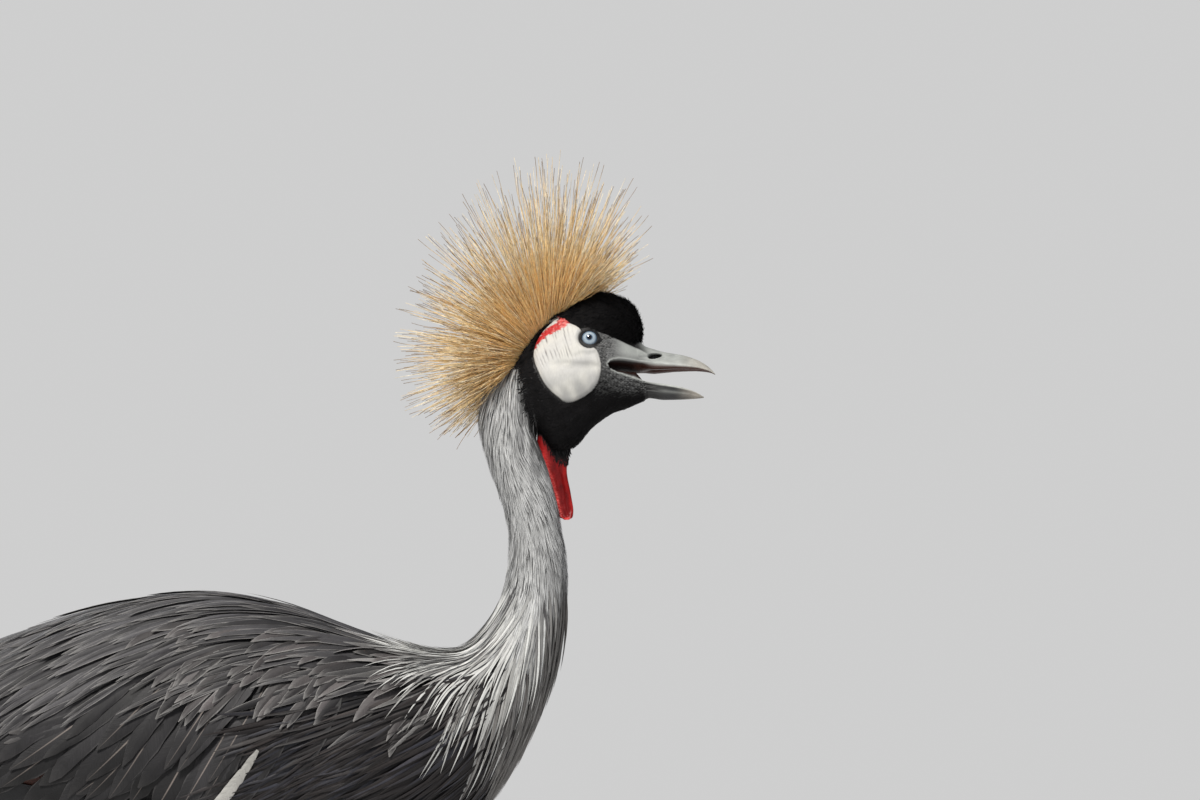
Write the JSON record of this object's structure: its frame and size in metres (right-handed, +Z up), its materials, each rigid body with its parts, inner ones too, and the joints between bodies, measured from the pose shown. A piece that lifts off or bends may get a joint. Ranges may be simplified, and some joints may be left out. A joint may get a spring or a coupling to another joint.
{
  "type": "grey crowned crane",
  "caption": "Life-size standing crane with a fan-shaped bristle crest, white cheek patch, open bill, red throat wattle, folded wings and long legs.",
  "frame": {"origin": "on the floor, under the middle of the whole bird's box; the body's own middle plane lies 32 mm to the right of it, because the cocked head takes the crest to the left", "axes": "+X forward, the way the bird faces; +Y to the bird's left; +Z up"},
  "size_m": [0.6995, 0.242, 0.9556],
  "materials": {
    "black": "velvety short black feathers",
    "slate": "slate-grey body feathers, matt with pale edges",
    "pale_grey": "fine silvery neck feathers, matt",
    "white": "white skin and white wing coverts, smooth and matt",
    "red": "bare scarlet skin, satin",
    "wattle_red": "bare dark red skin, satin",
    "gold": "stiff straw-gold bristle feathers",
    "bill": "grey horn, satin",
    "eye": "pale blue-grey iris under a clear, wet cornea",
    "leg": "black scaled skin",
    "claw": "black horn, satin"
  },
  "bodies": {
    "root": {"head": "black", "cap": "black", "bill_upper": "bill", "bill_lower": "bill", "eye_right": "eye", "eye_left": "eye", "cheek_right": "white", "cheek_left": "white", "cheek_red_right": "red", "cheek_red_left": "red", "wattle": "wattle_red", "crest": "gold", "neck_upper": "pale_grey", "neck_lower": "pale_grey", "neck_base": "pale_grey", "torso": "slate", "wing_arm_right": "white", "wing_arm_left": "white", "wing_hand_right": "black", "wing_hand_left": "black", "tail": "black", "thigh_right": "slate", "thigh_left": "slate", "shank_right": "leg", "shank_left": "leg", "tarsus_right": "leg", "tarsus_left": "leg", "foot_right": "leg", "foot_left": "leg", "claw_inner_right": "claw", "claw_inner_left": "claw", "claw_middle_right": "claw", "claw_middle_left": "claw", "claw_outer_right": "claw", "claw_outer_left": "claw", "claw_hind_right": "claw", "claw_hind_left": "claw"}
  },
  "joints": []
}
